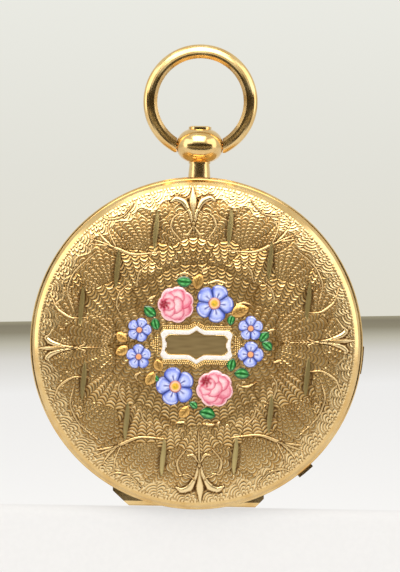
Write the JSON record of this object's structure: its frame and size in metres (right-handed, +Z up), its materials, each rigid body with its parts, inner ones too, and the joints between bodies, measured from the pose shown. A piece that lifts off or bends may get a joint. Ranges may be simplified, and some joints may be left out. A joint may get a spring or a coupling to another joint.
{
  "type": "pocket watch",
  "caption": "Key-wound hunter pocket watch with sprung front cover, hinged back cover and cuvette, ball pendant and ring bow.",
  "frame": {"origin": "centre of the bounding box's underside, under the case's lowest point", "axes": "+Z up to 12 o'clock and the bow, -Y out of the front cover, +X to 3 o'clock"},
  "size_m": [0.0383, 0.0114, 0.0532],
  "materials": {
    "gold": "polished 18 carat yellow gold",
    "engraved_gold": "hand engraved yellow gold",
    "white_enamel": "fired vitreous enamel",
    "blue_enamel": "painted vitreous enamel",
    "yellow_enamel": "painted vitreous enamel",
    "pink_enamel": "painted vitreous enamel",
    "green_enamel": "painted vitreous enamel",
    "dial_enamel": "white enamel dial",
    "glass": "polished crystal",
    "steel": "polished steel",
    "blue_steel": "blued steel",
    "gilt_brass": "frosted gilt brass",
    "ruby": "polished ruby"
  },
  "bodies": {
    "case": {"case_band": "gold", "pendant": "gold", "lift_spring": "steel", "spring_screws": "blue_steel", "front_hinge_pin": "gold", "back_hinge_pin": "gold", "bezel": "gold", "crystal": "glass", "dial": "dial_enamel", "main_plate": "gilt_brass", "barrel_bridge": "gilt_brass", "centre_bar": "gilt_brass", "third_bar": "gilt_brass", "fourth_bar": "gilt_brass", "escape_bar": "gilt_brass", "balance_cock": "gilt_brass", "end_piece": "steel", "bridge_screws": "blue_steel", "jewels": "ruby", "case_screws": "blue_steel", "click_spring": "steel"},
    "front_cover": {"front_cover": "engraved_gold", "cartouche": "white_enamel", "blue_flowers": "blue_enamel", "flower_hearts": "yellow_enamel", "roses": "pink_enamel", "green_leaves": "green_enamel", "gold_leaves": "gold"},
    "back_cover": {"back_cover": "engraved_gold"},
    "cuvette": {"cuvette": "gold"},
    "bow": {"bow": "gold"},
    "push_button": {"push_button": "gold"},
    "lock_spring": {"lock_spring": "steel"},
    "minute_hand": {"minute_hand": "blue_steel", "cannon_pinion": "steel"},
    "minute_wheel": {"minute_wheel": "gilt_brass"},
    "hour_hand": {"hour_hand": "blue_steel", "hour_wheel": "gilt_brass"},
    "winding": {"winding_arbor": "steel", "ratchet_wheel": "steel"},
    "click": {"click": "steel"},
    "barrel": {"barrel": "gilt_brass", "mainspring": "blue_steel"},
    "centre_wheel": {"centre_wheel": "gilt_brass"},
    "third_wheel": {"third_wheel": "gilt_brass"},
    "fourth_wheel": {"fourth_wheel": "gilt_brass"},
    "escape_wheel": {"escape_wheel": "steel"},
    "balance": {"balance": "gilt_brass", "hairspring": "blue_steel"},
    "regulator": {"regulator": "steel"}
  },
  "joints": [
    {"name": "front_cover_hinge", "type": "hinge", "parent": "case", "child": "front_cover", "pos_m": [0, -0.00145, 0.00085], "axis": [1, 0, 0], "range_deg": [0, 95]},
    {"name": "back_cover_hinge", "type": "hinge", "parent": "case", "child": "back_cover", "pos_m": [0, 0.00145, 0.00085], "axis": [-1, 0, 0], "range_deg": [0, 100]},
    {"name": "cuvette_hinge", "type": "hinge", "parent": "case", "child": "cuvette", "pos_m": [0, 0.00145, 0.00085], "axis": [-1, 0, 0], "range_deg": [0, 88]},
    {"name": "bow_swing", "type": "hinge", "parent": "case", "child": "bow", "pos_m": [0, 0, 0.0416], "axis": [1, 0, 0], "range_deg": [-120, 120]},
    {"name": "button_push", "type": "slide", "parent": "case", "child": "push_button", "axis": [0, 0, -1], "range_m": [0, 0.00045], "stiffness_N_per_m": 300},
    {"name": "lock_spring_flex", "type": "hinge", "parent": "case", "child": "lock_spring", "pos_m": [0.01198, 0, 0.03141], "axis": [0, -1, 0], "range_deg": [0, 2.2]},
    {"name": "hand_setting", "type": "hinge", "parent": "case", "child": "minute_hand", "pos_m": [0, 0, 0.019], "axis": [0, 1, 0], "continuous": true},
    {"name": "minute_wheel_turn", "type": "hinge", "parent": "case", "child": "minute_wheel", "pos_m": [-0.00089, 0, 0.01656], "axis": [0, 1, 0], "continuous": true},
    {"name": "hour_hand_turn", "type": "hinge", "parent": "case", "child": "hour_hand", "pos_m": [0, 0, 0.019], "axis": [0, 1, 0], "continuous": true},
    {"name": "winding_turn", "type": "hinge", "parent": "case", "child": "winding", "pos_m": [0.00501, 0, 0.02251], "axis": [0, -1, 0], "range_deg": [0, 1440]},
    {"name": "click_lift", "type": "hinge", "parent": "case", "child": "click", "pos_m": [0.00793, 0, 0.02357], "axis": [0, 1, 0], "range_deg": [0, 6]},
    {"name": "fourth_wheel_turn", "type": "hinge", "parent": "case", "child": "fourth_wheel", "pos_m": [-0.00468, 0, 0.01492], "axis": [0, 1, 0], "continuous": true},
    {"name": "third_wheel_turn", "type": "hinge", "parent": "case", "child": "third_wheel", "pos_m": [-0.00468, 0, 0.019], "axis": [0, 1, 0], "continuous": true},
    {"name": "centre_wheel_turn", "type": "hinge", "parent": "case", "child": "centre_wheel", "pos_m": [0, 0, 0.019], "axis": [0, 1, 0], "continuous": true},
    {"name": "barrel_turn", "type": "hinge", "parent": "case", "child": "barrel", "pos_m": [0.00501, 0, 0.02251], "axis": [0, 1, 0], "continuous": true},
    {"name": "escape_wheel_turn", "type": "hinge", "parent": "case", "child": "escape_wheel", "pos_m": [-0.00235, 0, 0.01214], "axis": [0, 1, 0], "continuous": true},
    {"name": "balance_swing", "type": "hinge", "parent": "case", "child": "balance", "pos_m": [-0.00108, 0, 0.00995], "axis": [0, 1, 0], "range_deg": [-135, 135]},
    {"name": "regulator_set", "type": "hinge", "parent": "case", "child": "regulator", "pos_m": [-0.00108, 0, 0.00995], "axis": [0, 1, 0], "range_deg": [-20, 20]}
  ],
  "couplings": [
    {"joint": "cuvette_hinge", "follows": "back_cover_hinge", "ratio": 0.85},
    {"joint": "lock_spring_flex", "follows": "button_push", "rad_per_m": 83.453},
    {"joint": "minute_wheel_turn", "follows": "hand_setting", "ratio": -0.33333},
    {"joint": "hour_hand_turn", "follows": "hand_setting", "ratio": 0.083333},
    {"joint": "third_wheel_turn", "follows": "fourth_wheel_turn", "ratio": -0.13333},
    {"joint": "centre_wheel_turn", "follows": "fourth_wheel_turn", "ratio": 0.016667},
    {"joint": "barrel_turn", "follows": "fourth_wheel_turn", "ratio": -0.0022222},
    {"joint": "escape_wheel_turn", "follows": "fourth_wheel_turn", "ratio": -10}
  ]
}
